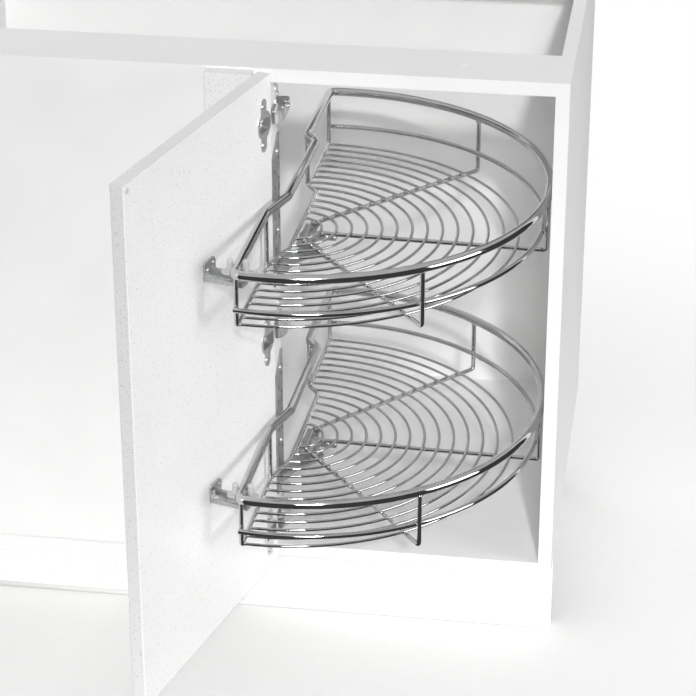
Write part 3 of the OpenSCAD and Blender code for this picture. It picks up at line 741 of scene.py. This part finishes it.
def pale_floor(studio):
    """A pale floor that keeps the soft shadows and fades to white round the cabinet."""
    shape = bmesh.new()
    bmesh.ops.create_grid(shape, x_segments=8, y_segments=8, size=FLOOR_HALF_SIZE)
    mesh = bpy.data.meshes.new("studio_floor")
    shape.to_mesh(mesh)
    shape.free()
    floor = bpy.data.objects.new("studio_floor", mesh)
    bpy.context.scene.collection.objects.link(floor)
    colour = tuple(studio.floor_colour)
    material, tree, shader, place = start_finish("studio_floor", colour, Roughness=0.9)
    fibre = grain(tree, place, 60.0, (-700, 0), 3.0)
    toned = tint(tree, fibre, shade(colour, 0.985), colour, 0.3, 0.7, (-400, 0))
    tree.links.new(toned, shader.inputs["Base Color"])
    low, high = cad_box
    middle = ((low[0] + high[0]) / 2, (low[1] + high[1]) / 2, 0.0)
    away = add_node(tree, "ShaderNodeVectorMath", (-700, -300), operation="DISTANCE")
    away.inputs[1].default_value = middle
    tree.links.new(place, away.inputs[0])
    fade = add_node(
        tree, "ShaderNodeMapRange", (-400, -300),
        {"From Min": FLOOR_FADE[0], "From Max": FLOOR_FADE[1]}, interpolation_type="SMOOTHSTEP",
    )
    tree.links.new(away.outputs["Value"], fade.inputs["Value"])
    invert = add_node(tree, "ShaderNodeMath", (-100, -300), operation="SUBTRACT")
    invert.inputs[0].default_value = 1.0
    tree.links.new(fade.outputs["Result"], invert.inputs[1])
    tree.links.new(invert.outputs["Value"], shader.inputs["Alpha"])
    floor.data.materials.append(material)
    floor.visible_glossy = False


def place_lamp(data, spot, aim):
    """Puts a light at a place and points it at another."""
    lamp = bpy.data.objects.new(data.name, data)
    lamp.location = spot
    lamp.rotation_mode = "QUATERNION"
    lamp.rotation_quaternion = (Vector(aim) - Vector(spot)).to_track_quat("-Z", "Y")
    bpy.context.scene.collection.objects.link(lamp)


def soft_light(name, power, width, spot, aim):
    """A soft square light."""
    data = bpy.data.lights.new(name, "AREA")
    data.shape = "SQUARE"
    data.size = width
    data.energy = power
    place_lamp(data, spot, aim)


def soft_sun(name, level, spread_angle, spot, aim):
    """A light of even strength from far beyond its place, with soft shadow edges."""
    data = bpy.data.lights.new(name, "SUN")
    data.angle = math.radians(spread_angle)
    data.energy = level
    place_lamp(data, spot, aim)


def studio_world(studio):
    """White behind the object; for light, a bright sky overhead and a dark horizon."""
    world = bpy.data.worlds.new("studio_world")
    bpy.context.scene.world = world
    world.use_nodes = True
    tree = world.node_tree
    tree.nodes.clear()
    output = add_node(tree, "ShaderNodeOutputWorld", (700, 0))
    rays = add_node(tree, "ShaderNodeLightPath", (200, 400))
    backdrop = add_node(tree, "ShaderNodeBackground", (200, 150), {"Strength": 1.0})
    backdrop.inputs["Color"].default_value = (1.0, 1.0, 1.0, 1.0)
    place = add_node(tree, "ShaderNodeTexCoord", (-600, -100))
    split = add_node(tree, "ShaderNodeSeparateXYZ", (-400, -100))
    tree.links.new(place.outputs["Generated"], split.inputs["Vector"])
    ramp = add_node(tree, "ShaderNodeValToRGB", (-150, -100))
    band = ramp.color_ramp
    for end, level in ((0, 0.1), (1, 1.0)):
        band.elements[end].position = end
        band.elements[end].color = (level, level, level, 1.0)
    for stop, level in ((0.3, 0.06), (0.46, 0.1), (0.58, 0.9)):
        band.elements.new(stop).color = (level, level, level, 1.0)
    tree.links.new(split.outputs["Z"], ramp.inputs["Fac"])
    sky = add_node(tree, "ShaderNodeBackground", (200, -100), {"Strength": studio.sky_level})
    tree.links.new(ramp.outputs["Color"], sky.inputs["Color"])
    seen = add_node(tree, "ShaderNodeMixShader", (450, 0))
    tree.links.new(rays.outputs["Is Camera Ray"], seen.inputs["Fac"])
    tree.links.new(sky.outputs["Background"], seen.inputs[1])
    tree.links.new(backdrop.outputs["Background"], seen.inputs[2])
    tree.links.new(seen.outputs["Shader"], output.inputs["Surface"])


def aim_camera(studio):
    """The camera of the photographed view: above, to the right and looking down."""
    data = bpy.data.cameras.new("photo_camera")
    data.lens = studio.lens
    data.sensor_width = 36.0
    data.shift_x = studio.shift_x
    data.shift_y = studio.shift_y
    data.clip_start = 0.05
    data.clip_end = 60.0
    camera = bpy.data.objects.new("photo_camera", data)
    camera.location = studio.camera_spot
    camera.rotation_euler = (math.radians(90) - studio.camera_pitch, 0.0, studio.camera_yaw)
    bpy.context.scene.collection.objects.link(camera)
    bpy.context.scene.camera = camera


def set_up_studio(context, studio):
    """Floor, lights, world, camera and the plain view transform."""
    pale_floor(studio)
    soft_sun(
        "key_light", studio.key_level, spread_angle=3.0,
        spot=(1.69, -7.3, 5.34), aim=(0.15, 0.2, 0.5),
    )
    soft_sun(
        "front_light", studio.front_level, spread_angle=12.0,
        spot=(1.2, -7.7, 4.1), aim=(0.15, 0.2, 0.5),
    )
    soft_light(
        "side_light", studio.side_power, width=1.4,
        spot=(3.0, -0.9, 0.9), aim=(-0.05, -0.3, 0.5),
    )
    soft_light(
        "rear_light", studio.rear_power, width=1.6,
        spot=(-2.6, 3.0, 1.7), aim=(-0.1, 0.2, 0.45),
    )
    studio_world(studio)
    aim_camera(studio)
    context.scene.view_settings.view_transform = "Standard"


# ---------- panel and properties ----------


class CabinetLook(bpy.types.PropertyGroup):
    """Colours and gloss of the finishes."""

    front_colour: FloatVectorProperty(
        name="Front Colour", description="Lacquer of the door, filler and plinth",
        subtype="COLOR", size=3, min=0.0, max=1.0, default=(0.91, 0.91, 0.905),
    )
    board_colour: FloatVectorProperty(
        name="Board Colour", description="Melamine of the carcass boards",
        subtype="COLOR", size=3, min=0.0, max=1.0, default=(0.93, 0.93, 0.925),
    )
    chrome_colour: FloatVectorProperty(
        name="Chrome Colour", description="Tint of the chromed wire",
        subtype="COLOR", size=3, min=0.0, max=1.0, default=(0.6, 0.605, 0.61),
    )
    chrome_roughness: FloatProperty(
        name="Chrome Roughness", description="Blur of the chromed wire's reflections",
        subtype="FACTOR", min=0.0, max=0.5, default=0.04,
    )
    zinc_colour: FloatVectorProperty(
        name="Zinc Colour", description="Hub, plates and link arms",
        subtype="COLOR", size=3, min=0.0, max=1.0, default=(0.62, 0.625, 0.63),
    )
    nickel_colour: FloatVectorProperty(
        name="Nickel Colour", description="Hinge cups, arms and screws",
        subtype="COLOR", size=3, min=0.0, max=1.0, default=(0.8, 0.8, 0.8),
    )
    bracket_colour: FloatVectorProperty(
        name="Bracket Colour", description="Coated steel of the shelf brackets",
        subtype="COLOR", size=3, min=0.0, max=1.0, default=(0.4, 0.405, 0.41),
    )
    guide_colour: FloatVectorProperty(
        name="Guide Colour", description="Nylon of the rim guides",
        subtype="COLOR", size=3, min=0.0, max=1.0, default=(0.55, 0.555, 0.55),
    )
    leg_colour: FloatVectorProperty(
        name="Leg Colour", description="Plastic of the adjustable legs",
        subtype="COLOR", size=3, min=0.0, max=1.0, default=(0.025, 0.025, 0.028),
    )
    bumper_colour: FloatVectorProperty(
        name="Bumper Colour", description="Soft dots on the door's inner face",
        subtype="COLOR", size=3, min=0.0, max=1.0, default=(0.85, 0.86, 0.86),
    )


class CabinetFittings(bpy.types.PropertyGroup):
    """Sizes of the welds and the small fittings."""

    bead_length: FloatProperty(
        name="Bead Length", description="Weld bead at a ring crossing; the other welds follow",
        unit="LENGTH", min=0.004, max=0.012, default=2 * CROSSING_BEAD[0] * MM,
    )
    rivet_width: FloatProperty(
        name="Rivet Width", description="Head of the rivets on the hinge arms",
        unit="LENGTH", min=0.002, max=0.006, default=2 * RIVET_HEAD[3][0] * MM,
    )
    burr_width: FloatProperty(
        name="Burr Width", description="Raised edge of the small holes in the post brackets",
        unit="LENGTH", min=0.004, max=0.008, default=2 * HOLE_BURR[0][0] * MM,
    )
    lip_height: FloatProperty(
        name="Lip Height", description="Top of the plinth lip's front leg",
        unit="LENGTH", min=0.004, max=0.02, default=0.009,
    )


class CabinetStudio(bpy.types.PropertyGroup):
    """Camera, lights and stage floor."""

    camera_spot: FloatVectorProperty(
        name="Camera Spot", description="Place of the camera",
        subtype="XYZ", unit="LENGTH", size=3, default=(0.5468, -3.0948, 1.975),
    )
    camera_pitch: FloatProperty(
        name="Camera Pitch", description="Angle at which the camera looks down",
        subtype="ANGLE", default=math.radians(26.73),
    )
    camera_yaw: FloatProperty(
        name="Camera Yaw", description="Turn of the camera to the left",
        subtype="ANGLE", default=math.radians(8.33),
    )
    lens: FloatProperty(
        name="Lens", description="Focal length in millimetres on a 36 mm sensor",
        min=10.0, max=400.0, default=131.5,
    )
    shift_x: FloatProperty(
        name="Shift X", description="Sideways shift of the lens",
        min=-0.1, max=0.1, default=-0.0086,
    )
    shift_y: FloatProperty(
        name="Shift Y", description="Upward shift of the lens", min=-0.1, max=0.1, default=0.0,
    )
    key_level: FloatProperty(
        name="Key Level", description="Strength of the light that casts the clear shadows",
        min=0.0, default=1.3,
    )
    front_level: FloatProperty(
        name="Front Level", description="Strength of the wide light into the cabinet",
        min=0.0, default=0.88,
    )
    side_power: FloatProperty(
        name="Side Power", description="Power of the soft light on the open door",
        subtype="POWER", unit="POWER", min=0.0, default=46.0,
    )
    rear_power: FloatProperty(
        name="Rear Power", description="Power of the soft light behind the cabinet",
        subtype="POWER", unit="POWER", min=0.0, default=30.0,
    )
    sky_level: FloatProperty(
        name="Sky Level", description="Strength of the soft light from overhead",
        min=0.0, max=2.0, default=0.65,
    )
    floor_colour: FloatVectorProperty(
        name="Floor Colour", description="Pale studio floor",
        subtype="COLOR", size=3, min=0.0, max=1.0, default=(0.9, 0.9, 0.895),
    )


class CABINET_PT_panel(bpy.types.Panel):
    """Sizes, colours and pieces of the corner carousel cabinet"""

    bl_idname = "CABINET_PT_panel"
    bl_label = "Corner Carousel Cabinet"
    bl_space_type = "VIEW_3D"
    bl_region_type = "UI"
    bl_category = "Cabinet"

    def draw(self, context):
        layout = self.layout
        scene = context.scene
        for group in (scene.cabinet_look, scene.cabinet_fittings, scene.cabinet_studio):
            box = layout.box()
            for name in group.__annotations__:
                box.prop(group, name)
        for operator in OPERATORS:
            layout.operator(operator.bl_idname)


OPERATORS = (
    CABINET_OT_finishes,
    CABINET_OT_weld_beads,
    CABINET_OT_hinge_rivets,
    CABINET_OT_bracket_holes,
    CABINET_OT_plinth_seal,
    CABINET_OT_studio,
)
CLASSES = (CabinetLook, CabinetFittings, CabinetStudio, *OPERATORS, CABINET_PT_panel)


def register():
    """Adds the classes and the properties of the scene."""
    for cls in CLASSES:
        bpy.utils.register_class(cls)
    bpy.types.Scene.cabinet_look = PointerProperty(type=CabinetLook)
    bpy.types.Scene.cabinet_fittings = PointerProperty(type=CabinetFittings)
    bpy.types.Scene.cabinet_studio = PointerProperty(type=CabinetStudio)


def unregister():
    """Takes the properties and the classes away again."""
    del bpy.types.Scene.cabinet_studio
    del bpy.types.Scene.cabinet_fittings
    del bpy.types.Scene.cabinet_look
    for cls in reversed(CLASSES):
        bpy.utils.unregister_class(cls)


def main():
    """Builds every piece in order."""
    register()
    bpy.ops.cabinet.finishes()
    bpy.ops.cabinet.weld_beads()
    bpy.ops.cabinet.hinge_rivets()
    bpy.ops.cabinet.bracket_holes()
    bpy.ops.cabinet.plinth_seal()
    bpy.ops.cabinet.studio()
    bpy.context.view_layer.update()


if __name__ == "__main__":
    main()
